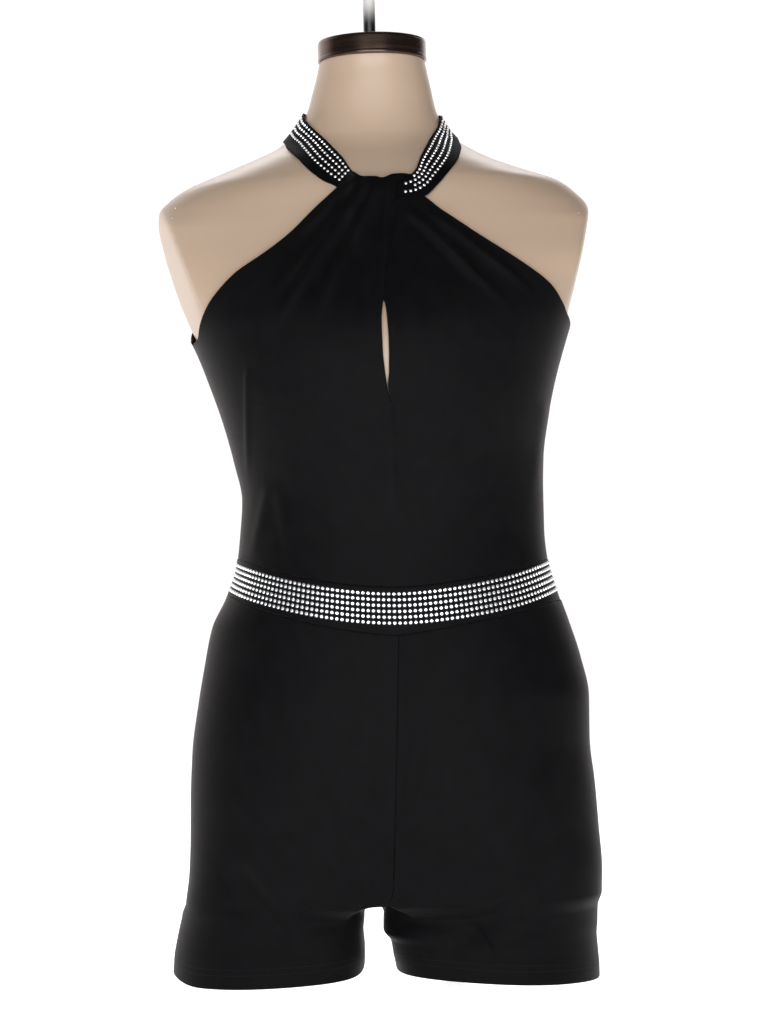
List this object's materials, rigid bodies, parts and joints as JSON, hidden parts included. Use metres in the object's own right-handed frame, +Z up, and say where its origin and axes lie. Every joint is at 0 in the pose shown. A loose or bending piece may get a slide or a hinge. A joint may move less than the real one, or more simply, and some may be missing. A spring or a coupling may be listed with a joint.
{
  "type": "halter romper on a dress form",
  "caption": "Black halter romper with a keyhole front, rhinestone neck band and waistband and short legs, worn by a limbless dress form on a flat round stand.",
  "frame": {"origin": "middle of the underside of the round base, on the surface that it stands on", "axes": "+Z up the form, -Y the way the wearer faces, +X to the wearer's left"},
  "size_m": [0.4572, 0.33, 1.1476],
  "materials": {
    "black_knit": "matte stretch knit with a faint sheen",
    "form_shell": "smooth pale beige",
    "bronze_metal": "dark bronze, satin",
    "dark_rod": "near black, satin",
    "white_stand": "white powder coat",
    "black_thread": "black thread, a little glossier than the knit",
    "steel_pin": "small pin heads",
    "rhinestone": "clear cut stones with silver backs"
  },
  "bodies": {
    "root": {"front_bodice": "black_knit", "back_bodice": "black_knit", "neck_band": "black_knit", "waistband_front": "black_knit", "waistband_back": "black_knit", "shorts_front_left": "black_knit", "shorts_front_right": "black_knit", "shorts_back_left": "black_knit", "shorts_back_right": "black_knit", "form_torso": "form_shell", "form_arm_plate_left": "form_shell", "form_arm_plate_right": "form_shell", "form_neck_cap": "bronze_metal", "form_top_rod": "dark_rod", "stand_pole": "white_stand", "stand_base": "white_stand"}
  },
  "joints": []
}
